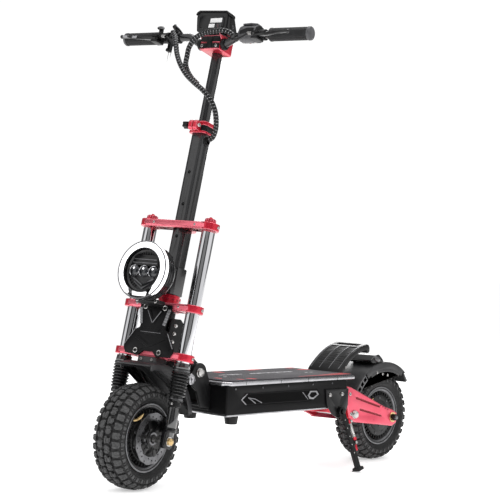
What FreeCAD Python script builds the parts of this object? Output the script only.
import FreeCAD, Part
import os
import math
import Sketcher
from FreeCAD import Vector, Placement, Rotation

# Folding electric kick scooter.
# Frame: origin on the ground midway between the axles, -Y forward, +X to the
# rider's left, +Z up, millimetres.  The fork, stem and bars are drawn in a
# steering frame: its +z runs up the raked steering axis, its -y points forward
# and its +x to the rider's left.  At rest the bars are turned a few degrees to
# the left.

os.makedirs("parts", exist_ok=True)
doc = FreeCAD.newDocument("KickScooter")
sheet = doc.addObject("Spreadsheet::Sheet", "Dims")

# alias, value, meaning
DIMENSIONS = [
    ("wheelBase", 1030.0, "axle to axle"),
    ("tyreRad", 142.5, "outside radius of both tyres"),
    ("tyreHalf", 48.8, "half width of both tyres"),
    ("rimRad", 93.0, "rim flange radius"),
    ("rimHalf", 38.0, "half width over the rim flanges"),
    ("axleRad", 6.0, "axle shaft radius"),
    ("rakeAngle", 12.36, "steering axis leans back, degrees"),
    ("restSteer", 8.59, "bars turned left at rest, degrees"),
    ("steerFootY", -494.37, "steering axis foot, front to back"),
    ("steerFootZ", 137.96, "steering axis foot, height"),
    ("forkHalf", 100.0, "half distance between fork tubes"),
    ("forkLead", 16.3, "fork tubes ahead of the steering axis"),
    ("axleLead", 21.2, "front axle ahead of the steering axis"),
    ("forkTubeRad", 18.5, "fork tube radius"),
    ("legRad", 12.5, "fork leg rod radius"),
    ("crownThick", 20.0, "fork crown thickness"),
    ("crownLowAt", 223.2, "lower crown centre along the axis"),
    ("crownMidAt", 355.5, "middle crown centre"),
    ("crownTopAt", 585.0, "top crown centre"),
    ("crownEndRad", 28.0, "crown end radius"),
    ("steererRad", 17.0, "steerer radius"),
    ("stemSide", 44.0, "outer stem tube, square side"),
    ("stemCorner", 12.0, "outer stem tube corner radius"),
    ("stemTopAt", 868.0, "top of the outer stem tube"),
    ("innerTubeRad", 15.0, "telescoping inner stem tube radius"),
    ("barAt", 1132.0, "height of the grips along the axis"),
    ("barLead", 27.6, "bar ahead of the steering axis"),
    ("barHalf", 315.0, "half width of the bar"),
    ("barRad", 11.1, "bar tube radius"),
    ("clampAt", 1108.0, "height of the bar in its clamp"),
    ("gripRad", 18.0, "grip radius over its ribs"),
    ("lampRad", 78.0, "headlight radius"),
    ("lampAt", 431.0, "headlight centre along the axis"),
    ("deckHalf", 122.0, "deck tub half width"),
    ("lidHalf", 127.0, "deck lid half width"),
    ("deckFront", -297.0, "front wall of the tub"),
    ("deckRear", 234.0, "rear wall of the tub"),
    ("deckLow", 197.0, "underside of the tub"),
    ("tubTop", 277.0, "top of the tub"),
    ("lidTop", 288.0, "top of the lid"),
    ("wallThick", 3.5, "tub wall"),
    ("foldY", -342.0, "fold pivot, front to back"),
    ("foldZ", 311.0, "fold pivot, height"),
    ("pinRad", 8.0, "fold and swingarm pivot bolt radius"),
    ("swingY", 318.0, "swingarm pivot, front to back"),
    ("swingZ", 162.0, "swingarm pivot, height"),
    ("armIn", 80.0, "inside of the swingarm plates"),
    ("armThick", 8.0, "swingarm plate thickness"),
    ("runGap", 0.05, "running clearance on radius"),
    ("guardRad", 175.0, "front mudguard outside radius"),
    ("footHalf", 62.0, "rear footrest half width"),
]


class Length:
    """A length that knows the spreadsheet expression it comes from."""

    def __init__(self, value, formula=None):
        self.value = float(value)
        self.formula = formula

    def text(self):
        return self.formula if self.formula is not None else repr(round(self.value, 6))

    def combine(self, other, sign, value):
        if self.formula is None and other.formula is None:
            return Length(value)
        return Length(value, "(%s %s %s)" % (self.text(), sign, other.text()))

    def __add__(self, other):
        other = as_length(other)
        return self.combine(other, "+", self.value + other.value)

    def __sub__(self, other):
        other = as_length(other)
        return self.combine(other, "-", self.value - other.value)

    def __mul__(self, other):
        other = as_length(other)
        return self.combine(other, "*", self.value * other.value)

    def __truediv__(self, other):
        other = as_length(other)
        return self.combine(other, "/", self.value / other.value)

    def __neg__(self):
        return Length(0) - self


def as_length(size):
    return size if isinstance(size, Length) else Length(size)


class Dimensions:
    """Holds one Length per spreadsheet alias."""


dim = Dimensions()
for column, heading in zip("ABC", ("dimension", "value", "meaning")):
    sheet.set(column + "1", heading)
for row, (alias, value, meaning) in enumerate(DIMENSIONS, start=2):
    sheet.set("A%d" % row, alias)
    sheet.set("B%d" % row, repr(value))
    sheet.set("C%d" % row, meaning)
    sheet.setAlias("B%d" % row, alias)
    setattr(dim, alias, Length(value, "Dims." + alias))
doc.recompute()

# Clearances shared by many pieces.
FIT = 0.02        # bores clamped or pressed on their shafts
AXLE_FIT = 0.03   # axle holes
SEAM = 0.05       # gap between faces that rest on each other


# ---------------------------------------------------------------- modelling helpers
def add(kind, stem):
    """Add an object under a numbered name."""
    return doc.addObject(kind, "%s_%03d" % (stem, len(doc.Objects)))


def bind(part, prop, size):
    size = as_length(size)
    if size.formula is None:
        setattr(part, prop, size.value)
    else:
        part.setExpression(prop, size.formula)


def primitive(kind, **sizes):
    part = add("Part::" + kind, kind)
    for prop, size in sizes.items():
        bind(part, prop, size)
    return part


def put(part, x=0, y=0, z=0, turn=Rotation()):
    x, y, z = as_length(x), as_length(y), as_length(z)
    part.Placement = Placement(Vector(x.value, y.value, z.value), turn)
    for name, place in (("x", x), ("y", y), ("z", z)):
        if place.formula is not None:
            part.setExpression("Placement.Base." + name, place.formula)
    return part


# Turns that point a part's own +z along the named direction.
AXES = {
    "z": Rotation(),
    "x": Rotation(Vector(0, 1, 0), 90),
    "-x": Rotation(Vector(0, 1, 0), -90),
    "y": Rotation(Vector(1, 0, 0), -90),
    "-y": Rotation(Vector(1, 0, 0), 90),
}


def box(x0, x1, y0, y1, z0, z1):
    part = primitive("Box", Length=as_length(x1) - x0, Width=as_length(y1) - y0,
                     Height=as_length(z1) - z0)
    return put(part, x0, y0, z0)


def cyl(radius, length, x, y, z, axis="z"):
    return put(primitive("Cylinder", Radius=radius, Height=length), x, y, z, AXES[axis])


def cone(radius1, radius2, length, x, y, z, axis="z"):
    part = primitive("Cone", Radius1=radius1, Radius2=radius2, Height=length)
    return put(part, x, y, z, AXES[axis])


def hexbar(radius, length, x, y, z, axis="z"):
    part = primitive("Prism", Circumradius=radius, Height=length)
    part.Polygon = 6
    return put(part, x, y, z, AXES[axis])


def fuse(*parts):
    if len(parts) == 1:
        return parts[0]
    joined = add("Part::MultiFuse", "Fuse")
    joined.Shapes = list(parts)
    joined.Refine = True
    return joined


def cut(base, *tools):
    result = add("Part::Cut", "Cut")
    result.Base = base
    result.Tool = fuse(*tools)
    result.Refine = True
    return result


def common(base, tool):
    result = add("Part::Common", "Common")
    result.Base = base
    result.Tool = tool
    return result


def group(*parts):
    result = add("Part::Compound", "Group")
    result.Links = list(parts)
    return result


def dress(kind, base, size, pick):
    """Fillet or chamfer the edges that pick() accepts."""
    doc.recompute()
    result = add("Part::" + kind, kind)
    result.Base = base
    size = as_length(size).value
    result.Edges = [(i + 1, size, size) for i, edge in enumerate(base.Shape.Edges) if pick(edge)]
    if not result.Edges:
        raise RuntimeError("no edges to dress on " + base.Name)
    return result


def rounded(base, radius, pick):
    return dress("Fillet", base, radius, pick)


def bevel(base, size, pick):
    return dress("Chamfer", base, size, pick)


def along(axis):
    """Accept straight edges parallel to an axis."""
    i = "xyz".index(axis)

    def pick(edge):
        run = edge.Vertexes[-1].Point - edge.Vertexes[0].Point
        return run.Length > 1e-6 and abs(abs(run[i]) - run.Length) < 1e-6
    return pick


def at_level(axis, level):
    """Accept edges lying in one plane across an axis."""
    i = "xyz".index(axis)
    level = as_length(level).value

    def pick(edge):
        bounds = edge.BoundBox
        low = (bounds.XMin, bounds.YMin, bounds.ZMin)[i]
        high = (bounds.XMax, bounds.YMax, bounds.ZMax)[i]
        return abs(low - level) < 1e-4 and abs(high - level) < 1e-4
    return pick


def profile(body, plane, loops, circles=(), offset=0):
    """A sketch on a body's own origin plane: closed polygons and circles, each
    corner and centre held by its distances from the origin."""
    sketch = body.newObject("Sketcher::SketchObject", "Sketch_%03d" % len(doc.Objects))
    role = plane.upper() + "_Plane"
    support = [item for item in body.Origin.OriginFeatures if item.Role == role][0]
    sketch.AttachmentSupport = [(support, "")]
    sketch.MapMode = "FlatFace"
    offset = as_length(offset)
    sketch.AttachmentOffset = Placement(Vector(0, 0, offset.value), Rotation())
    if offset.formula is not None:
        sketch.setExpression("AttachmentOffset.Base.z", offset.formula)
    formulas = []

    def hold(size, *constraint):
        index = sketch.addConstraint(Sketcher.Constraint(*constraint, size.value))
        if size.formula is not None:
            formulas.append((index, size.formula))

    first = 0
    for loop in loops:
        corners = [(as_length(across), as_length(up)) for across, up in loop]
        total = len(corners)
        for i in range(total):
            start, end = corners[i], corners[(i + 1) % total]
            sketch.addGeometry(Part.LineSegment(Vector(start[0].value, start[1].value, 0),
                                                Vector(end[0].value, end[1].value, 0)), False)
        for i in range(total):
            sketch.addConstraint(Sketcher.Constraint("Coincident", first + i, 2,
                                                     first + (i + 1) % total, 1))
        for i, (across, up) in enumerate(corners):
            hold(across, "DistanceX", -1, 1, first + i, 1)
            hold(up, "DistanceY", -1, 1, first + i, 1)
        first += total
    for circle in circles:
        across, up, radius = [as_length(size) for size in circle]
        centre = Vector(across.value, up.value, 0)
        sketch.addGeometry(Part.Circle(centre, Vector(0, 0, 1), radius.value), False)
        hold(across, "DistanceX", -1, 1, first, 3)
        hold(up, "DistanceY", -1, 1, first, 3)
        hold(radius, "Radius", first)
        first += 1
    for index, formula in formulas:
        sketch.setExpression("Constraints[%d]" % index, formula)
    return sketch


def prism(plane, loops, low, high, circles=()):
    """Pad a profile between two levels measured along +Z (xy), +Y (xz) or +X (yz)."""
    body = add("PartDesign::Body", "Body")
    low, high = as_length(low), as_length(high)
    offset = -high if plane == "xz" else low
    sketch = profile(body, plane, loops, circles, offset)
    pad = body.newObject("PartDesign::Pad", "Pad_%03d" % len(doc.Objects))
    pad.Profile = sketch
    bind(pad, "Length", high - low)
    return body


def lathe(loop, axis="x"):
    """Turn a profile given as (along, radius) pairs about the x or z axis."""
    body = add("PartDesign::Body", "Body")
    if axis == "z":
        loop = [(radius, level) for level, radius in loop]
    sketch = profile(body, "xz", [loop])
    turned = body.newObject("PartDesign::Revolution", "Turned_%03d" % len(doc.Objects))
    turned.Profile = sketch
    turned.ReferenceAxis = (sketch, ["H_Axis" if axis == "x" else "V_Axis"])
    turned.Angle = 360
    return body


def code_shape(shape):
    """A free-form piece whose shape comes from code."""
    part = add("Part::Feature", "Form")
    part.Shape = shape
    return part


def rod_through(points, radius):
    """A round rod swept along a smooth curve through points."""
    curve = Part.BSplineCurve()
    curve.interpolate([Vector(*point) for point in points])
    path = Part.Wire([curve.toShape()])
    start = curve.value(curve.FirstParameter)
    tangent = curve.tangent(curve.FirstParameter)[0]
    ring = Part.Wire([Part.Circle(start, tangent, radius).toShape()])
    return path.makePipeShell([ring], True, True)


def coil(radius, wire_radius, length, turns):
    """A coil spring standing on z = 0."""
    helix = Part.makeHelix(length / turns, length, radius)
    circle = Part.Circle(Vector(radius, 0, 0), Vector(0, 1, 0), wire_radius)
    return Part.Wire(helix).makePipeShell([Part.Wire([circle.toShape()])], True, True)


def both(inner, outer):
    """The x span on the left side and its mirror on the right."""
    return [(inner, outer), (-outer, -inner)]


def polar(radius, degrees, centre=(0, 0)):
    """Side-view (y, z) of a point at an angle from +Y about a centre."""
    angle = math.radians(degrees)
    return (centre[0] + radius * math.cos(angle), centre[1] + radius * math.sin(angle))


def arc_band(inner, outer, start, end, span, centre, steps=22):
    """A curved strip about a centre in side view, padded over an x span."""
    angles = [start + (end - start) * i / steps for i in range(steps + 1)]
    points = [polar(outer, angle, centre) for angle in angles]
    points += [polar(inner, angle, centre) for angle in reversed(angles)]
    return prism("yz", [points], *span)


# ---------------------------------------------------------------- steering frame
STEER_FOOT = Vector(0, dim.steerFootY.value, dim.steerFootZ.value)
RAKE = Rotation(Vector(1, 0, 0), -dim.rakeAngle.value) if False else \
    Rotation(Vector(1, 0, 0), (-dim.rakeAngle).value)
NECK = Placement(STEER_FOOT, RAKE)
STEER = Placement(STEER_FOOT, RAKE.multiply(Rotation(Vector(0, 0, 1), dim.restSteer.value)))
RAKE_SIN = math.sin(math.radians(dim.rakeAngle.value))
RAKE_COS = math.cos(math.radians(dim.rakeAngle.value))


def side(back, up):
    """Side-view (y, z) of a point given behind the steering axis and up along it."""
    return (round(STEER_FOOT.y + up * RAKE_SIN + back * RAKE_COS, 3),
            round(STEER_FOOT.z + up * RAKE_COS - back * RAKE_SIN, 3))


# =============================================================== DECK
# Outlines in side view are (y, z) pairs, outlines in plan are (x, y) pairs.
RECESS = [(-240, 237), (-221, 255), (88, 254), (106, 237), (52, 219), (-216, 221)]
LID = [(-dim.lidHalf, 262), (dim.lidHalf, 262), (dim.lidHalf, -282), (104, -300),
       (-104, -300), (-dim.lidHalf, -282)]
MAT = [(-121, 256), (121, 256), (121, -278.5), (102, -292), (-102, -292), (-121, -278.5)]
PANEL = [(-239.5, 237), (-220.7, 254.5), (87.7, 253.5), (105, 237), (51.8, 219.5),
         (-215.6, 221.5)]
CHEVRONS = [
    [(-222, 237), (-212, 246), (-204, 246), (-214, 237), (-206, 228), (-214, 228)],
    [(-206, 237), (-196, 246), (-188, 246), (-198, 237), (-190, 228), (-198, 228)],
]
CHEEK = [(-304, 214), (-304, 292), (-318, 322), (-342, 330), (-362, 322), (-384, 304),
         (-384, 288), (-352, 262), (-334, 216)]
FOOTREST = [(242.1, 254), (242.1, 276.5), (262.3, 276.5), (262.3, 290), (270, 301),
            (285, 314.5), (300, 327), (317, 339.8), (335, 351), (352, 359.6), (370, 367),
            (387, 372), (402, 375), (411, 373), (416, 364), (416, 352), (409, 347),
            (399, 357), (370, 351), (352, 343.8), (335, 334.6), (318, 323), (302, 309),
            (290, 290), (284, 254)]
SUNK_PANEL = [(287, 314.2), (300, 325), (317, 337.8), (335, 349), (352, 357.6),
              (368, 364.3), (368, 392), (287, 345)]
MOUNT_EAR = [(234.2, 262), (258, 262), (300, 214), (337, 172), (337, 152), (326, 141),
             (306, 143), (262, 160), (200, 174), (104, 184), (100, 191.9), (234.2, 191.9)]
STAND_BRACKET = [(126, 250), (234, 250), (234, 200), (222, 172), (206, 164), (186, 164),
                 (160, 176), (134, 206)]
LATCH = [(-391, 291), (-389, 303), (-378, 311), (-366, 303), (-361, 290), (-369, 281),
         (-382, 280)]

CHARGE_Y, CHARGE_Z = 185.0, 240.0           # charge socket centre
SHOCK_FRONT = Vector(0, 254, 228)           # shock pin on the mount
SHOCK_REAR = Vector(0, 326, 220)            # swingarm cross tube
STAND_Y, STAND_Z = 197, 184                 # kickstand pivot
BRACKET_BOLT_Y, BRACKET_BOLT_Z = (146, 203), 234


def deck_tub():
    """Tub, open on top, with a shallow six-sided recess in each side."""
    tub = box(-dim.deckHalf, dim.deckHalf, dim.deckFront, dim.deckRear, dim.deckLow, dim.tubTop)
    tub = rounded(tub, 5, along("z"))
    tub = bevel(tub, 2.5, at_level("z", dim.deckLow))
    inside = box(-dim.deckHalf + dim.wallThick, dim.deckHalf - dim.wallThick,
                 dim.deckFront + 7, dim.deckRear - 5, dim.deckLow + 4, dim.tubTop + 10)
    recesses = [prism("yz", [RECESS], *span)
                for span in both(dim.deckHalf - 1.5, dim.deckHalf + 5)]
    return cut(tub, inside, *recesses,
               cyl(8.05, 12, -dim.deckHalf - 6, CHARGE_Y, CHARGE_Z, "x"))


def deck_lid():
    """One plate with clipped front corners and a bevelled rim."""
    lid = prism("xy", [LID], dim.tubTop + SEAM, dim.lidTop)
    lid = bevel(lid, 3.0, at_level("z", dim.lidTop))
    return bevel(lid, 1.5, at_level("z", dim.tubTop + SEAM))


def grip_mat():
    mat_top = dim.lidTop + 4
    return bevel(prism("xy", [MAT], dim.lidTop + 0.02, mat_top), 0.8, at_level("z", mat_top))


def deck_base():
    """Plate under the tub with a bevelled lower edge."""
    plate = box(-dim.deckHalf + 1, dim.deckHalf - 1, dim.deckFront + 4, dim.deckRear - 4,
                dim.deckLow - 5, dim.deckLow - SEAM)
    return bevel(plate, 1.5, at_level("z", dim.deckLow - 5))


def hexagon(half_width, half_height):
    """A side-view hexagon round the panel's frame centre."""
    return [(70 + half_width * math.cos(math.radians(angle)),
             237 + half_height * math.sin(math.radians(angle))) for angle in range(0, 360, 60)]


def side_panels():
    """Panels let into the side recesses, with raised chevrons and a hex frame."""
    back = dim.deckHalf - 1.45
    panels = []
    for flat, raised in zip(both(back, dim.deckHalf + 0.4), both(back, dim.deckHalf + 1.4)):
        panels.append(fuse(prism("yz", [PANEL], *flat),
                           *[prism("yz", [chevron], *raised) for chevron in CHEVRONS],
                           prism("yz", [hexagon(15, 10.5), hexagon(10.5, 6.8)], *raised)))
    return group(*panels)


def battery_pack():
    pack = rounded(box(-96, 96, -222, 118, dim.deckLow + 6, dim.tubTop - 8), 6, along("y"))
    straps = [box(-97, 97, y, y + 14, dim.deckLow + 5, dim.tubTop - 7) for y in (-180, -60, 60)]
    return fuse(pack, *straps)


def motor_controllers():
    """Two finned boxes side by side behind the battery."""
    fin_pitch, fin_thick = 10, 4
    controllers = []
    for x in (-94, 10):
        case = box(x, x + 84, 130, 222, dim.deckLow + 5, dim.deckLow + 38)
        fins = []
        for i in range(8):
            fin_x = x + 4 + fin_pitch * i
            fins.append(box(fin_x, fin_x + fin_thick, 134, 218,
                            dim.deckLow + 37, dim.deckLow + 46))
        controllers.append(fuse(case, *fins))
    return group(*controllers)


def charge_port():
    """Round charge socket through the right side wall."""
    flange_x = -dim.deckHalf - 3
    return cut(fuse(cyl(8, 24, -dim.deckHalf, CHARGE_Y, CHARGE_Z, "x"),
                    cyl(13, 3, flange_x, CHARGE_Y, CHARGE_Z, "x")),
               cyl(6.5, 13, flange_x, CHARGE_Y, CHARGE_Z, "x"))


def hinge_cheeks():
    """Two cheeks on a plate fixed to the tub's front wall."""
    cheeks = [fuse(prism("yz", [CHEEK], x0, x1), cyl(27, x1 - x0, x0, dim.foldY, dim.foldZ, "x"))
              for x0, x1 in both(52, 60)]
    hinge = fuse(*cheeks, box(-60, 60, -305, dim.deckFront - SEAM, 206, 274),
                 box(-53, 53, -326, -300, 218, 226))
    return cut(hinge, cyl(dim.pinRad + FIT, 140, -70, dim.foldY, dim.foldZ, "x"))


def pivot_bolt(half_length, y, z):
    """A shaft across the scooter with a washer and hex head at each end."""
    head_x = half_length - 0.2
    heads = [fuse(cyl(13, 2, x, y, z, axis), hexbar(12, 8, x, y, z, axis))
             for x, axis in ((head_x, "x"), (-head_x, "-x"))]
    return fuse(cyl(dim.pinRad, half_length * 2, -half_length, y, z, "x"), *heads)


def pivot_bolts():
    return group(pivot_bolt(60.3, dim.foldY, dim.foldZ), pivot_bolt(88.5, dim.swingY, dim.swingZ))


def rubber_feet():
    """Two feet that carry the deck when the scooter is folded."""
    return group(*[cone(17, 21, 26, x, -232, dim.deckLow - 31.05) for x in (81, -81)])


def rear_footrest():
    """One bent plate with a grab slot and three sunk panels."""
    plate = prism("yz", [FOOTREST], -dim.footHalf, dim.footHalf)
    sunk = [prism("yz", [SUNK_PANEL], *span) for span in ((-54, -21), (-16, 16), (21, 54))]
    return cut(plate, *sunk, rounded(box(-44, 44, 378, 397, 340, 400), 6, along("z")))


def swing_mount():
    """Swingarm mount behind and under the tub."""
    mount = fuse(*[prism("yz", [MOUNT_EAR], *span) for span in both(68, 79.5)],
                 box(-79.5, 79.5, dim.deckRear + 0.1, dim.deckRear + 7.9, 200, 270),
                 box(-79.5, 79.5, 150, 226, 185, 191.9),
                 *[box(*span, 241, 262, 216, 240) for span in both(10.2, 13)])
    mount = cut(mount, cyl(dim.pinRad + FIT, 200, -100, dim.swingY, dim.swingZ, "x"))
    return fuse(mount, cyl(6, 5, 79, 272, 170, "x"), cyl(6, 5, -84, 272, 170, "x"),
                cyl(4, 26, -13, SHOCK_FRONT.y, SHOCK_FRONT.z, "x"))


def kickstand_bracket():
    """Plate on the left side wall with the kickstand's pivot pin."""
    plate = prism("yz", [STAND_BRACKET], dim.deckHalf + SEAM, dim.deckHalf + 5)
    plate = cut(plate, *[cyl(4.05, 20, dim.deckHalf - 4, y, BRACKET_BOLT_Z, "x")
                         for y in BRACKET_BOLT_Y])
    return fuse(plate, cyl(6, 17.5, dim.deckHalf + 2, STAND_Y, STAND_Z, "x"),
                cyl(8, 2.5, dim.deckHalf + 19, STAND_Y, STAND_Z, "x"))


def deck_screws():
    wall_x = dim.deckHalf + SEAM
    screws = [cyl(2.6, 1.8, x, y, 268, axis) for y in (-262, -150, -40, 70, 160)
              for x, axis in ((wall_x, "x"), (-wall_x, "-x"))]
    # Kickstand bracket bolts.
    screws += [fuse(cyl(6.5, 4, dim.deckHalf + 5.05, y, BRACKET_BOLT_Z, "x"),
                    cyl(4, 5.2, wall_x, y, BRACKET_BOLT_Z, "x")) for y in BRACKET_BOLT_Y]
    # Hinge plate screws, facing forward.
    screws += [cyl(4, 2.5, x, -305.05, z, "-y") for x in (-34, 34) for z in (236, 262)]
    return group(*screws)


def fold_latch():
    """A small plate on the left hinge cheek, with a finger tab."""
    plate = cut(prism("yz", [LATCH], 60.3, 64.5), cyl(4.06, 20, 55, -378, 294, "x"))
    return fuse(plate, box(60.3, 70, -391, -384, 286, 300))


# =============================================================== KICKSTAND
# Drawn hanging straight down from its pivot, then splayed out and back.
STAND_TOP = Vector(dim.deckHalf.value + 11.5, STAND_Y, STAND_Z)
STAND_TIP = Vector(163, 251, 6.0)
STAND = Placement(STAND_TOP, Rotation(Vector(0, 0, -1), STAND_TIP - STAND_TOP))
STAND_LENGTH = (STAND_TIP - STAND_TOP).Length


def stand_cross(radius, length, beside_deck):
    """A cylinder about the pivot, level in the world, given in the stand's frame."""
    part = primitive("Cylinder", Radius=radius, Height=length)
    start = Vector(dim.deckHalf.value + beside_deck, STAND_Y, STAND_Z)
    part.Placement = STAND.inverse().multiply(Placement(start, AXES["x"]))
    return part


def kickstand_leg():
    top, bottom = -6, -STAND_LENGTH + 8
    shaft = primitive("Wedge", Xmin=-4.5, Xmax=4.5, Zmin=-10, Zmax=10,
                      X2min=-6, X2max=6, Z2min=-8, Z2max=8, Ymin=0, Ymax=top - bottom)
    put(shaft, z=top, turn=AXES["y"])
    foot = rounded(box(-14, 14, -13, 13, -STAND_LENGTH, -STAND_LENGTH + 9), 5, along("z"))
    leg = fuse(shaft, foot, stand_cross(13, 9, 6.3),
               box(-5, 5, 8, 13.1, -38, -28), box(-5, 5, 8, 13.1, -60, -50),
               box(-6, 6, 6, 24, -112, -100))
    return cut(leg, stand_cross(6.06, 40, -10))


def kickstand_spring():
    """The spring as a plain barrel with a wider collar at each end."""
    return fuse(cyl(5.5, 62, 0, 20.5, -96), cyl(7.2, 10, 0, 20.5, -44),
                cyl(7.2, 10, 0, 20.5, -99.9))


# =============================================================== NECK
# Side-view (y, z) outlines of the two side plates and of the web between them.
NECK_PLATE = [side(-18, 325), side(18, 330), side(34, 318), side(44, 270), side(76.6, 250),
              side(100, 235), (-330, 331), (-322, 318), (-330, 292), (-345, 287.5),
              (-374, 294), side(47.5, 205), side(47.5, 236.5), side(-18, 236.5)]
NECK_WEB = [side(10, 322), side(24, 322), side(34, 262), side(66, 246), (-352, 330),
            (-352, 296), (-374, 296), side(49, 207), side(49, 238), side(12, 238)]
NECK_HALF = 44      # outside of the neck's side plates


def neck_cyl(radius, z0, z1):
    """A cylinder about the steering axis between two levels along it."""
    part = primitive("Cylinder", Radius=radius, Height=z1 - z0)
    part.Placement = NECK.multiply(Placement(Vector(0, 0, z0), Rotation()))
    return part


def neck_frame():
    neck = fuse(neck_cyl(26, 234, 344.6),
                *[prism("yz", [NECK_PLATE], *span) for span in both(38, NECK_HALF)],
                prism("yz", [NECK_WEB], -40, 40),
                cyl(24, 103, -51.5, dim.foldY, dim.foldZ, "x"))
    # Steerer bore, the two bearing seats and the fold pivot bore.
    return cut(neck, neck_cyl(17.6, 200, 400), neck_cyl(20.02, 230, 246.5),
               neck_cyl(20.02, 332.1, 350),
               cyl(dim.pinRad + dim.runGap, 140, -70, dim.foldY, dim.foldZ, "x"))


def neck_bolts():
    """Three hex bolts with washers on each side plate."""
    bolts = []
    face_x = NECK_HALF + SEAM
    for x, axis in ((face_x, "x"), (-face_x, "-x")):
        for back, up in ((2, 309), (1, 287), (0, 264)):
            y, z = side(back, up)
            bolts.append(fuse(cyl(5.5, 1.2, x, y, z, axis), hexbar(4.6, 4.2, x, y, z, axis)))
    return group(*bolts)


def head_bearings():
    inner, outer = 17.05, 20
    return group(*[lathe([(low, inner), (low, outer), (high, outer), (high, inner)], "z")
                   for low, high in ((234.6, 246.4), (332.2, 344.0))])


# =============================================================== STEERING
FORK_X = (-dim.forkHalf, dim.forkHalf)
GUIDE_SCREW_Z = (737.4, 645.7, 553.9)       # screws up the front of the stem
KNOB_Y, KNOB_Z = -42, 867                   # lock knob screw

# (x, z) outlines of the front plate and its raised V.
FRONT_PLATE = [(-53.5, 357), (53.5, 357), (53.5, 345), (41.5, 296), (43, 290), (56, 284),
               (85, 240), (84, 230), (76, 217), (32, 213), (15, 227), (-15, 227), (-32, 213),
               (-76, 217), (-84, 230), (-85, 240), (-56, 284), (-43, 290), (-41.5, 296),
               (-53.5, 345)]
PLATE_VEE = [(-26, 334), (-14, 334), (0, 312), (14, 334), (26, 334), (6, 300), (-6, 300)]


def stem_square(gap, low, high):
    """A square post with the outer stem tube's corners, larger by a gap all round."""
    half = dim.stemSide / 2 + gap
    return rounded(box(-half, half, -half, half, low, high), dim.stemCorner, along("z"))


def crown(level, centre_radius, centre_hole):
    low, high = level - dim.crownThick / 2, level + dim.crownThick / 2
    ends = [cyl(dim.crownEndRad, dim.crownThick, x, -dim.forkLead, low) for x in FORK_X]
    bridge = bevel(box(-dim.forkHalf, dim.forkHalf, -44, 8, low, high), 4, along("x"))
    blank = fuse(bridge, cyl(centre_radius, dim.crownThick, 0, 0, low), *ends)
    holes = [cyl(dim.forkTubeRad + FIT, 60, x, -dim.forkLead, low - 10) for x in FORK_X]
    slots = [rounded(box(*span, -32, -3, low - 5, high + 5), 8, along("z"))
             for span in both(42, 66)]
    clamp_splits = [box(*span, 4, 20, low - 5, high + 5) for span in both(99, 101)]
    return cut(blank, centre_hole, *holes, *slots, *clamp_splits)


def fork_crowns():
    """Two crowns on the round steerer and one on the square stem."""
    crowns = [crown(level, 34, cyl(dim.steererRad + FIT, 60, 0, 0, level - 30))
              for level in (dim.crownLowAt, dim.crownMidAt)]
    stem_hole = stem_square(SEAM, dim.crownTopAt - 20, dim.crownTopAt + 20)
    return group(*crowns, crown(dim.crownTopAt, 38, stem_hole))


def fork_tubes():
    return group(*[cut(cyl(dim.forkTubeRad, 455, x, -dim.forkLead, 140),
                       cyl(dim.legRad + dim.runGap, 60, x, -dim.forkLead, 130),
                       cyl(15.5, 424, x, -dim.forkLead, 165)) for x in FORK_X])


def fork_caps():
    return group(*[fuse(cyl(15, 6, x, -dim.forkLead, 595.1),
                        hexbar(13, 15, x, -dim.forkLead, 600),
                        cyl(5, 19, x, -dim.forkLead, 600)) for x in FORK_X])


def fork_boots():
    """Pleated rubber boots between the fork tubes and the legs."""
    pleat_top, pleat_pitch = 184.0, 8.4
    outline = [(192, 18.55), (192, 23.5), (186, 23.5)]
    z = pleat_top
    while z > 118:
        crest = 25.3 - (pleat_top - z) * 0.045
        outline += [(z, crest), (z - 4.4, max(crest - 4.2, 19.8))]
        z -= pleat_pitch
    outline += [(114, 20), (108, 18.5), (108, 12.55), (112, 12.55), (112, 17), (122, 18.55)]
    return group(*[put(lathe(outline, "z"), x, -dim.forkLead, 0) for x in FORK_X])


def fork_springs():
    return group(*[put(code_shape(coil(10.5, 1.7, 270.0, 18)), x, -dim.forkLead, 306)
                   for x in FORK_X])


def steering_column():
    """Steerer, block and square outer tube in one, with three guide screws."""
    tube = stem_square(0, 466, dim.stemTopAt)
    block = bevel(box(-26, 26, -27, 27, 392, 470), 7, along("z"))
    block = bevel(block, 3, at_level("z", 470))
    column = fuse(cyl(dim.steererRad, 182, 0, 0, 213.3), block, tube)
    column = cut(column, cyl(dim.innerTubeRad + 0.06, 400, 0, 0, 500),
                 *[cyl(2.5, 12, 0, -24, z, "y") for z in GUIDE_SCREW_Z],
                 cyl(8.4, 12, 14, 0, 832, "x"))
    guides = [cut(cyl(2.48, 5.5, 0, -21.7, z, "y"), hexbar(1.4, 3, 0, -22.5, z, "y"))
              for z in GUIDE_SCREW_Z]
    return group(column, *guides)


def stem_collars():
    """Split ring on the steerer and split collar on top of the outer tube."""
    ring = cut(fuse(cyl(29, 25, 0, 0, 366), box(-11, 11, 20, 40, 367, 390)),
               cyl(dim.steererRad + FIT, 60, 0, 0, 350), box(-1.2, 1.2, 10, 50, 360, 400))
    ring = fuse(ring, cyl(4, 27, -13.5, 33, 378.5, "x"))
    collar = fuse(rounded(box(-29, 29, -29, 29, 850, 884), 14, along("z")),
                  box(-14, 14, -51, -20, 853, 881))
    collar = cut(collar, stem_square(SEAM, 840, dim.stemTopAt + 0.1),
                 cyl(dim.innerTubeRad + 0.08, 60, 0, 0, 840),
                 box(-1.3, 1.3, -55, -10, 840, 900), cyl(3.06, 60, -30, KNOB_Y, KNOB_Z, "x"))
    return group(ring, collar)


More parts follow.
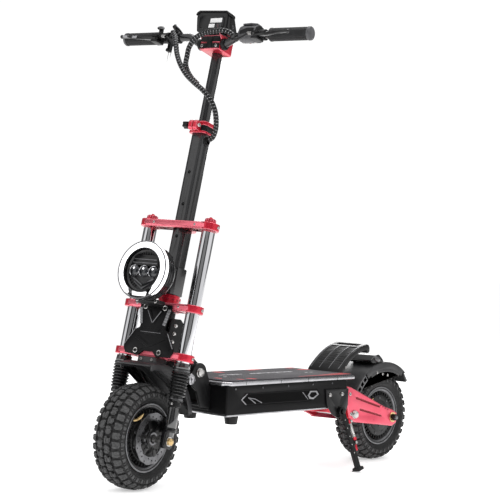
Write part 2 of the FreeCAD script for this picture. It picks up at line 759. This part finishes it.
def lock_knob():
    """Clamp screw of the upper collar with a five-lobed knob on the right."""
    lobes = [cyl(4.2, 16, -34, *polar(7.2, angle, (KNOB_Y, KNOB_Z)), "x")
             for angle in range(0, 360, 72)]
    return fuse(cyl(3, 52, -30, KNOB_Y, KNOB_Z, "x"), cyl(6.5, 6, 14.1, KNOB_Y, KNOB_Z, "x"),
                cyl(6, 4, -18.2, KNOB_Y, KNOB_Z, "x"), *lobes,
                cyl(8.6, 16, -34, KNOB_Y, KNOB_Z, "x"))


def front_plate():
    """Armour plate over the two lower crowns, with a raised V and four bolts."""
    face_y = -49.5
    plate = bevel(prism("xz", [FRONT_PLATE], face_y, -44.6), 1.6, at_level("y", face_y))
    bolts = [cyl(5, 3, x, -49.4, z, "-y")
             for x, z in ((-33, 349.5), (33, 349.5), (-40, 224), (40, 224))]
    return fuse(plate, prism("xz", [PLATE_VEE], -51.2, -49), *bolts)


def headlight_housing():
    """Drum on a square arm, with a lower bracket and two bars across its face."""
    level = dim.lampAt
    drum_radius = dim.lampRad - 4
    drum = fuse(cyl(drum_radius, 34, 0, -89, level, "-y"),
                cone(46, drum_radius, 24, 0, -65.1, level, "-y"),
                bevel(box(-24, 24, -80, -27.1, level - 22, level + 22), 3, along("y")))
    drum = fuse(drum, cyl(dim.lampRad - 22, 6, 0, -122, level, "-y"),
                box(-40, 40, -96, -62, level - 82, level - 66),
                box(-27, 27, -66, -50.5, level - 84, level - 66))
    bars = [rounded(box(-42, 42, -137, -127.5, level + rise, level + rise + 7), 2, along("x"))
            for rise in (16, 27)]
    return fuse(drum, *bars)


def headlight_optics():
    """Open light ring, a low bar in its gap and three domed lenses."""
    level = dim.lampAt
    ring = cut(cyl(dim.lampRad, 20, 0, -123.1, level, "-y"),
               cyl(dim.lampRad - 20, 60, 0, -100, level, "-y"),
               box(-24, 24, -160, -100, level - 90, level - 52))
    on_face = at_level("y", -143.1)
    ring = rounded(ring, 4, lambda edge: on_face(edge) and len(edge.Vertexes) == 2
                   and edge.Length > 200)
    low_bar = rounded(box(-23, 23, -140, -123.1, level - 71, level - 57.5), 3, along("y"))
    lenses = []
    for x in (-28, 0, 28):
        ball = put(primitive("Sphere", Radius=15), x, -127, level - 2)
        behind = box(x - 20, x + 20, -128.1, -90, level - 30, level + 30)
        lenses.append(cut(ball, behind))
    return group(ring, low_bar, *lenses)


def front_mudguard():
    centre = (-dim.axleLead.value - 5.7, 24)
    outer = dim.guardRad.value
    guard = fuse(arc_band(outer - 3.5, outer, 20, 113, (-52, 52), centre),
                 *[arc_band(158, outer - 1, 22, 111, span, centre) for span in both(50, 53)],
                 box(-30, 30, -46, 4, 195.8, 213.1))
    return cut(guard, box(-22, 22, -36, -8, 203, 209))


def fork_legs():
    """Leg rods, each with a shoe round the axle and a band above it."""
    legs = []
    for x in FORK_X:
        shoe = rounded(box(x - 8, x + 8, -40, -3, -20, 36), 6, along("x"))
        band = fuse(cyl(16.5, 12, x, -dim.forkLead, 93), box(x - 5, x + 5, -42, -20, 94, 104))
        legs.append(cut(fuse(cyl(dim.legRad, 290, x, -dim.forkLead, 12), shoe, band),
                        cyl(dim.axleRad + AXLE_FIT, 60, x - 30, -dim.axleLead, 0, "x")))
    return group(*legs)


def front_caliper():
    """Caliper inside the left leg, slotted for the disc."""
    caliper = fuse(rounded(box(43, 66, 14, 56, 22, 66), 5, along("x")),
                   box(60, 92, -4, 30, 28, 52), box(88, 96, -6, 10, 26, 54))
    caliper = cut(caliper, box(49.4, 53.2, -10, 52.5, 10, 61.5))
    caliper = cut(caliper, cyl(dim.legRad + 0.1, 80, dim.forkHalf, -dim.forkLead, 0))
    return cut(caliper, box(91.9, 110, -42, -2.95, -24, 40))


# =============================================================== WHEELS
# Turned outlines: (x along the axle, radius).
FRONT_AXLE = [(-124, 0), (-124, 6), (-117, 6), (-117, 9.5), (-108.1, 9.5), (-108.1, 6),
              (-91.9, 6), (-91.9, 9), (-53, 9), (-53, 6), (-20, 6), (-20, 58), (20, 58),
              (20, 6), (53.5, 6), (53.5, 9), (91.9, 9), (91.9, 6), (108.1, 6), (108.1, 9.5),
              (117, 9.5), (117, 6), (124, 6), (124, 0)]
REAR_AXLE = [(-106, 0), (-106, 6), (-98, 6), (-98, 9.5), (-88.1, 9.5), (-88.1, 6),
             (-79.9, 6), (-79.9, 9), (-53, 9), (-53, 6), (-20, 6), (-20, 58), (20, 58),
             (20, 6), (53, 6), (53, 9), (79.9, 9), (79.9, 6), (88.1, 6), (88.1, 9.5),
             (98, 9.5), (98, 6), (106, 6), (106, 0)]
HUB = [(-50, 6.06), (-50, 15), (-42, 17), (-36, 22), (-34, 56), (-29, 62), (-29, 76),
       (-dim.rimHalf, 84), (-dim.rimHalf, dim.rimRad), (-35.2, dim.rimRad), (-33.2, 84),
       (-24, 78), (24, 78), (33.2, 84), (35.2, dim.rimRad), (dim.rimHalf, dim.rimRad),
       (dim.rimHalf, 84), (29, 76), (29, 62), (34, 56), (36, 22), (42, 17), (50, 15),
       (50, 6.06), (24, 6.06), (24, 70), (-24, 70), (-24, 6.06)]
TYRE = [(-32.8, 84.2), (-32.8, 93.5), (-38, 97), (-45, 104), (-dim.tyreHalf, 113),
        (-47.5, 123), (-43, 131.5), (-34, 138), (-18, 141.6), (0, dim.tyreRad), (18, 141.6),
        (34, 138), (43, 131.5), (47.5, 123), (dim.tyreHalf, 113), (45, 104), (38, 97),
        (32.8, 93.5), (32.8, 84.2), (25, 80), (25, 88), (34, 100), (39.5, 112), (36, 124),
        (24, 131), (0, 133.5), (-24, 131), (-36, 124), (-39.5, 112), (-34, 100), (-25, 88),
        (-25, 80)]
FRONT_CENTRE = (0, -dim.axleLead, 0)                    # in the steering frame
REAR_CENTRE = (0, dim.wheelBase / 2, dim.tyreRad)


def front_axle():
    return put(lathe(FRONT_AXLE), *FRONT_CENTRE)


def front_hub():
    return put(lathe(HUB), *FRONT_CENTRE)


def front_tyre():
    return put(lathe(TYRE), *FRONT_CENTRE)


def front_disc():
    """Brake disc with a ring of small holes round a ring of large ones."""
    blank = prism("yz", [], 50.1, 52.6, [(0, 0, 70), (0, 0, 9.8)])
    holes = [cyl(3.2, 10, 46, *polar(62, i * 20), "x") for i in range(18)]
    holes += [cyl(11.5, 10, 46, *polar(37, i * 60 + 30), "x") for i in range(6)]
    return group(put(group(cut(blank, *holes)), *FRONT_CENTRE))


def rear_axle():
    return put(lathe(REAR_AXLE), *REAR_CENTRE)


def rear_hub():
    return put(lathe(HUB), *REAR_CENTRE)


def rear_tyre():
    return put(lathe(TYRE), *REAR_CENTRE)


# =============================================================== REAR END
REAR_YZ = (REAR_CENTRE[1].value, REAR_CENTRE[2].value)

# Side-view (y, z) outlines.
SWINGARM = [(277.5, 250), (280, 192), (294, 154), (318, 138), (500, 116), (515, 114.5),
            (534, 122), (543, 138), (538, 156), (512, 168), (480, 176), (296, 247.5)]
GUARD_TAIL = [polar(173, 54, REAR_YZ), polar(169.5, 54, REAR_YZ), (632, 246), (641, 250.5)]
STAY_LEG = [(362, 230), (378, 222), (352, 186), (340, 196)]
REAR_LAMP = [(452, 305), (440, 318), (462, 335), (484, 337.5), (500, 326), (508, 317)]
LAMP_LIFT = 3.2     # lamp outline raised onto the guard

# Damper body: (along the shock, radius).
DAMPER = [(5, 0), (5, 7.5), (11, 7.5), (11, 14), (14, 14), (14, 7.5), (40, 7.5), (40, 4.6),
          (54, 4.6), (54, 14), (57, 14), (57, 4.6), (61, 4.6), (61, 0)]
SHOCK = Placement(SHOCK_FRONT, Rotation(Vector(0, 0, 1), SHOCK_REAR - SHOCK_FRONT))


def groove(y0, z0, y1, z1, half_width):
    """Side-view rectangle along a line, for cutting a groove."""
    run_y, run_z = y1 - y0, z1 - z0
    length = math.hypot(run_y, run_z)
    off_y, off_z = -run_z / length * half_width, run_y / length * half_width
    return [(y0 + off_y, z0 + off_z), (y1 + off_y, z1 + off_z),
            (y1 - off_y, z1 - off_z), (y0 - off_y, z0 - off_z)]


def swingarm():
    """Two grooved plates joined by a cross tube and a bar."""
    outside = dim.armIn + dim.armThick
    plates = []
    for span, depth, face in zip(both(dim.armIn, outside), both(outside - 2.2, outside + 3),
                                 (outside, -outside)):
        plate = bevel(prism("yz", [SWINGARM], *span), 2.4, at_level("x", face))
        plates.append(cut(plate, prism("yz", [groove(324, 213, 446, 179, 3.2)], *depth),
                          prism("yz", [groove(344, 176, 456, 150, 3.0)], *depth)))
    arms = fuse(*plates, cyl(10, dim.armIn * 2 + 2, -dim.armIn - 1,
                             SHOCK_REAR.y, SHOCK_REAR.z, "x"),
                box(-dim.armIn - 1, dim.armIn + 1, 346, 356, 150, 164))
    return cut(arms, cyl(dim.pinRad + dim.runGap, 200, -100, dim.swingY, dim.swingZ, "x"),
               cyl(dim.axleRad + AXLE_FIT, 220, -110, *REAR_CENTRE[1:], "x"))


def rear_shock():
    """Damper, coil and two eyes, from the mount's pin to the arm's cross tube."""
    length = (SHOCK_REAR - SHOCK_FRONT).Length
    damper = fuse(lathe(DAMPER, "z"), cyl(9, 10, -5, 0, 0, "x"),
                  cyl(13.5, 10, -5, 0, length, "x"))
    damper = cut(damper, cyl(4.06, 30, -15, 0, 0, "x"), cyl(10.06, 30, -15, 0, length, "x"))
    return group(damper, put(code_shape(coil(11.2, 1.8, 36.0, 5)), 0, 0, 16))


def rear_mudguard():
    """Guard with side skirts and a tail, on a windowed stay at each side."""
    guard = fuse(arc_band(169.5, 173, 52, 152, (-54, 54), REAR_YZ),
                 *[arc_band(152, 172, 56, 126, span, REAR_YZ) for span in both(52, 55)])
    stays = []
    for x0, x1 in both(52, 55):
        stay = fuse(arc_band(149, 171, 128, 153, (x0, x1), REAR_YZ, steps=5),
                    prism("yz", [STAY_LEG], x0, x1))
        windows = [arc_band(154, 166, angle - 2.4, angle + 2.4, (x0 - 3, x1 + 3), REAR_YZ,
                            steps=1) for angle in (131.5, 138.5, 145.5)]
        stays.append(cut(stay, *windows))
    feet = [box(*span, 340, 352, 184, 196) for span in both(52, 81)]
    guard = fuse(guard, prism("yz", [GUARD_TAIL], -50, 50), *stays, *feet)
    # Trim the feet flush with the inside of the swingarm plates.
    return cut(guard, *[box(*span, 330, 360, 170, 200) for span in both(80, 90)])


def rear_lamp():
    """Lamp on top of the guard, with a rounded lens at each side."""
    outline = [(y, z + LAMP_LIFT) for y, z in REAR_LAMP]
    lamp = cut(prism("yz", [outline], -50, 50), cyl(173.1, 200, -100, *REAR_YZ, "x"))
    lenses = []
    for x in (49, -49):
        lens = primitive("Ellipsoid", Radius1=9, Radius2=16, Radius3=9,
                         Angle1=-90, Angle2=90, Angle3=360)
        lenses.append(put(lens, x, 470, 326.5, Rotation(Vector(1, 0, 0), 20)))
    return cut(fuse(lamp, *lenses), cyl(173.05, 200, -100, *REAR_YZ, "x"))


# =============================================================== BARS
# Handlebar centre line seen from behind: (x, z).
BAR_PATH = [(-dim.barHalf, dim.barAt), (-84, dim.barAt), (-40, dim.clampAt),
            (40, dim.clampAt), (84, dim.barAt), (dim.barHalf, dim.barAt)]
BAR_BEND, BAR_WALL = 22.0, 2.2
GRIP_BORE = 11.14
HORN_X, HORN_Z = 106, 1125
# By side, +1 left and -1 right.
LEVER_PIVOT_X = {1: 166, -1: -180}
LEVER_TIP_X = {1: 285, -1: -290}

# Display in side view: (y, z).
DISPLAY = [(-40, 1136.2), (-52, 1146), (-54, 1168), (-34, 1194), (-6, 1206), (24, 1212),
           (25, 1207), (6, 1198), (16, 1152), (8, 1136.2)]
SCREEN = [(4.5, 1154), (4.5, 1196), (6.4, 1196), (15.5, 1154)]

# Cable centre lines: (x, y, z).  The first runs from the right controls down to
# the left side of the stem, the second from the left controls across to the right.
LOOM_RADIUS = 6.8
LOOMS = [
    [(-130, -56, 1140), (-124, -57, 1132), (-113, -60, 1120), (-102, -66, 1100),
     (-88, -70, 1068), (-66, -72, 1034), (-40, -70, 1005), (-10, -66, 982),
     (19, -60, 963), (41, -50, 942), (54, -38, 918), (58, -26, 893), (55, -14, 868),
     (44, -4, 846), (29, -1, 836)],
    [(86, -58, 1120), (76, -62, 1128), (58, -70, 1132), (34, -75, 1130), (8, -77, 1126),
     (-15, -77, 1118), (-34, -76, 1104), (-46, -74, 1082), (-50, -68, 1056),
     (-53, -58, 1034), (-50, -49, 1022)],
]


def on_bar(radius, length, x):
    """A cylinder about the straight ends of the bar, from x towards the left."""
    return cyl(radius, length, x, -dim.barLead, dim.barAt, "x")


def inner_tube():
    return cut(cyl(dim.innerTubeRad, 367, 0, 0, 745), cyl(12.5, 400, 0, 0, 730))


def bar_clamp():
    """Two-part look block: front split, two pockets behind and two screws on top."""
    screw_y, screw_x = -40.5, (-24, 24)
    clamp = fuse(rounded(box(-34, 34, -46, 22, 1088, 1128), 6, along("z")),
                 bevel(box(-34, 34, -44, -10, 1118, 1136), 5, along("x")))
    clamp = bevel(clamp, 2.0, at_level("z", 1088))
    pockets = [rounded(box(x0, x1, 6, 40, 1098, 1120), 3, along("y"))
               for x0, x1 in ((-26, -8), (8, 26))]
    clamp = cut(clamp, cyl(dim.barRad + 0.03, 100, -50, -dim.barLead, dim.clampAt, "x"),
                cyl(dim.innerTubeRad + FIT, 40, 0, 0, 1072.5),
                box(-60, 60, -60, -dim.barLead, dim.clampAt - 0.8, dim.clampAt + 0.8),
                *pockets, *[cyl(3.2, 30, x, screw_y, 1120) for x in screw_x])
    return fuse(clamp, *[cyl(3.1, 12, x, screw_y, 1119.9) for x in screw_x])


def bent_path(points, bend):
    """A wire of straight legs joined by tangent arcs."""
    edges = []
    start = points[0]
    for before, corner, after in zip(points, points[1:], points[2:]):
        backward = (before - corner).normalize()
        forward = (after - corner).normalize()
        half_turn = (math.pi - backward.getAngle(forward)) / 2
        reach = bend * math.tan(half_turn)
        arc_start, arc_end = corner + backward * reach, corner + forward * reach
        inward = (backward + forward).normalize()
        middle = corner + inward * (bend / math.cos(half_turn) - bend)
        edges.append(Part.LineSegment(start, arc_start).toShape())
        edges.append(Part.Arc(arc_start, middle, arc_end).toShape())
        start = arc_end
    edges.append(Part.LineSegment(start, points[-1]).toShape())
    return Part.Wire(edges)


def handlebar():
    """A hollow tube swept along five straight legs with rounded bends."""
    points = [Vector(as_length(x).value, (-dim.barLead).value, z.value) for x, z in BAR_PATH]
    spine = bent_path(points, BAR_BEND)
    sweeps = []
    for radius in (dim.barRad.value, dim.barRad.value - BAR_WALL):
        ring = Part.Wire([Part.Circle(points[0], Vector(1, 0, 0), radius).toShape()])
        sweeps.append(spine.makePipeShell([ring], True, False))
    return cut(*[code_shape(sweep) for sweep in sweeps])


def grips():
    """Ribbed grips with a flange at each end and an inward lip outside the bar."""
    outline = [(190, GRIP_BORE), (190, 19), (194, 19), (196, 17)]
    for x in range(200, 302, 7):
        outline += [(x, 17), (x + 1.2, dim.gripRad), (x + 4.2, dim.gripRad), (x + 5.4, 17)]
    outline += [(310, 17), (312, 19), (318, 19), (320, 16), (320, 8.14), (315.1, 8.14),
                (315.1, GRIP_BORE)]
    mirrored = [(-x, radius) for x, radius in outline]
    return group(*[put(lathe(loop), 0, -dim.barLead, dim.barAt) for loop in (outline, mirrored)])


def display():
    """Hooded display on top of the clamp, its screen facing the rider."""
    case = prism("yz", [DISPLAY], -46, 52)
    along_x = along("x")
    case = rounded(case, 5, lambda edge: along_x(edge) and edge.BoundBox.YMax < -5
                   and edge.BoundBox.ZMax > 1140)
    case = cut(case, box(-38, 44, 5, 40, 1156, 1192))
    screen = common(prism("yz", [SCREEN], -38, 44), box(-37.9, 43.9, 4.5, 14, 1156.1, 1191.9))
    return fuse(case, screen, box(52, 57, -40, 2, 1142, 1176))


def switch_block():
    """Left switch block with openings for the horn button and light switch."""
    block = rounded(box(92, 150, -50, -4, 1112, 1160), 7, along("x"))
    return cut(block, on_bar(dim.barRad + 0.05, 80, 80),
               cyl(5.1, 8.5, HORN_X, -12, HORN_Z, "y"),
               box(126.9, 141.1, -14, 0, 1136.9, 1151.1))


def horn_button():
    return fuse(cyl(5, 7, HORN_X, -8.5, HORN_Z, "y"), cyl(6.4, 2.4, HORN_X, -1.5, HORN_Z, "y"))


def light_switch():
    return fuse(box(127, 141, -6.5, -2, 1138, 1150), cyl(6.5, 14, 127, -6.5, 1144, "x"))


def throttle_body():
    """A clamp on the right of the bar with a leaning round pod."""
    lean = Rotation(Vector(0, 1, 0), -18).multiply(Rotation(Vector(1, 0, 0), -38))
    pod = put(primitive("Cylinder", Radius=20, Height=13), -134, -26, 1153, lean)
    pod = rounded(pod, 4, lambda edge: edge.Length > 100)
    return cut(fuse(on_bar(17, 28, -148), pod), on_bar(dim.barRad + FIT, 60, -170))


def throttle_paddle():
    """A thumb paddle on a ring that turns on the bar."""
    paddle = fuse(on_bar(16.5, 10, -167),
                  rounded(box(-166, -157, -24, -12, 1094, 1122), 3, along("x")),
                  rounded(box(-169.5, -157, -25, -10, 1094, 1103), 3, along("y")))
    return cut(paddle, on_bar(dim.barRad + dim.runGap, 40, -190))


def brake_perch(sign):
    """A ring on the bar with a forked lug that holds the lever's pin."""
    pivot_x = LEVER_PIVOT_X[sign]
    ring_x = pivot_x - 10 - 2 * sign
    lug = box(pivot_x - 10, pivot_x + 10, -74, -38, 1106, 1128)
    gap = box(pivot_x - 16, pivot_x + 24, -90, -52, 1112.8, 1121.2)
    perch = cut(fuse(on_bar(15.5, 20, ring_x), lug), gap,
                on_bar(dim.barRad + FIT, 60, ring_x - 20))
    nub = cyl(3.7, 18, pivot_x, -60, 1125.2, "-x" if sign > 0 else "x")
    return fuse(perch, cyl(3, 14, pivot_x, -64, 1110), nub)


def brake_perches():
    return group(brake_perch(1), brake_perch(-1))


def brake_lever(sign):
    """A flat blade with a round eye at the pivot and a round tip."""
    pivot, tip = LEVER_PIVOT_X[sign], LEVER_TIP_X[sign]
    blade = [(pivot, -71), (pivot + 24 * sign, -72), (pivot + 60 * sign, -80),
             (tip - 8 * sign, -90), (tip, -90), (tip, -82), (pivot + 62 * sign, -71.5),
             (pivot + 28 * sign, -62), (pivot, -57)]
    lever = fuse(prism("xy", [blade], 1113, 1121), cyl(7, 8, pivot, -64, 1113),
                 cyl(5.4, 8, tip - sign, -86, 1113))
    return cut(lever, cyl(3.05, 20, pivot, -64, 1108))


def brake_lever_left():
    return brake_lever(1)


def brake_lever_right():
    return brake_lever(-1)


def cable_looms():
    return group(*[code_shape(rod_through(points, LOOM_RADIUS)) for points in LOOMS])


# =============================================================== BUILD AND WRITE
# Builders by the frame they are drawn in; each piece is named after its builder.
PIECES = [
    (None, [deck_tub, deck_lid, grip_mat, deck_base, side_panels, battery_pack,
            motor_controllers, charge_port, hinge_cheeks, pivot_bolts, rubber_feet,
            rear_footrest, swing_mount, kickstand_bracket, deck_screws, fold_latch,
            neck_frame, neck_bolts, swingarm, rear_axle, rear_hub, rear_tyre,
            rear_mudguard, rear_lamp]),
    (STAND, [kickstand_leg, kickstand_spring]),
    (NECK, [head_bearings]),
    (SHOCK, [rear_shock]),
    (STEER, [fork_crowns, fork_tubes, fork_caps, fork_boots, fork_springs, steering_column,
             stem_collars, lock_knob, front_plate, headlight_housing, headlight_optics,
             front_mudguard, fork_legs, front_axle, front_caliper, front_hub, front_tyre,
             front_disc, inner_tube, bar_clamp, handlebar, grips, display, switch_block,
             horn_button, light_switch, throttle_body, throttle_paddle, brake_perches,
             brake_lever_left, brake_lever_right, cable_looms]),
]

nodes = []
for frame, builders in PIECES:
    for build in builders:
        piece = build()
        if frame is not None:
            piece = group(piece)
            piece.Placement = frame
        piece.Label = build.__name__
        nodes.append(piece)

doc.recompute()
failed = [item.Name + " " + ",".join(item.State) for item in doc.Objects
          if "Invalid" in item.State or "Error" in item.State]
if failed:
    raise RuntimeError("failed objects: " + "; ".join(failed))
for piece in nodes:
    if piece.Shape.isNull() or not piece.Shape.isValid() or not piece.Shape.Solids:
        raise RuntimeError("bad shape: " + piece.Label)
for piece in nodes:
    piece.Shape.exportStep("parts/%s.step" % piece.Label)
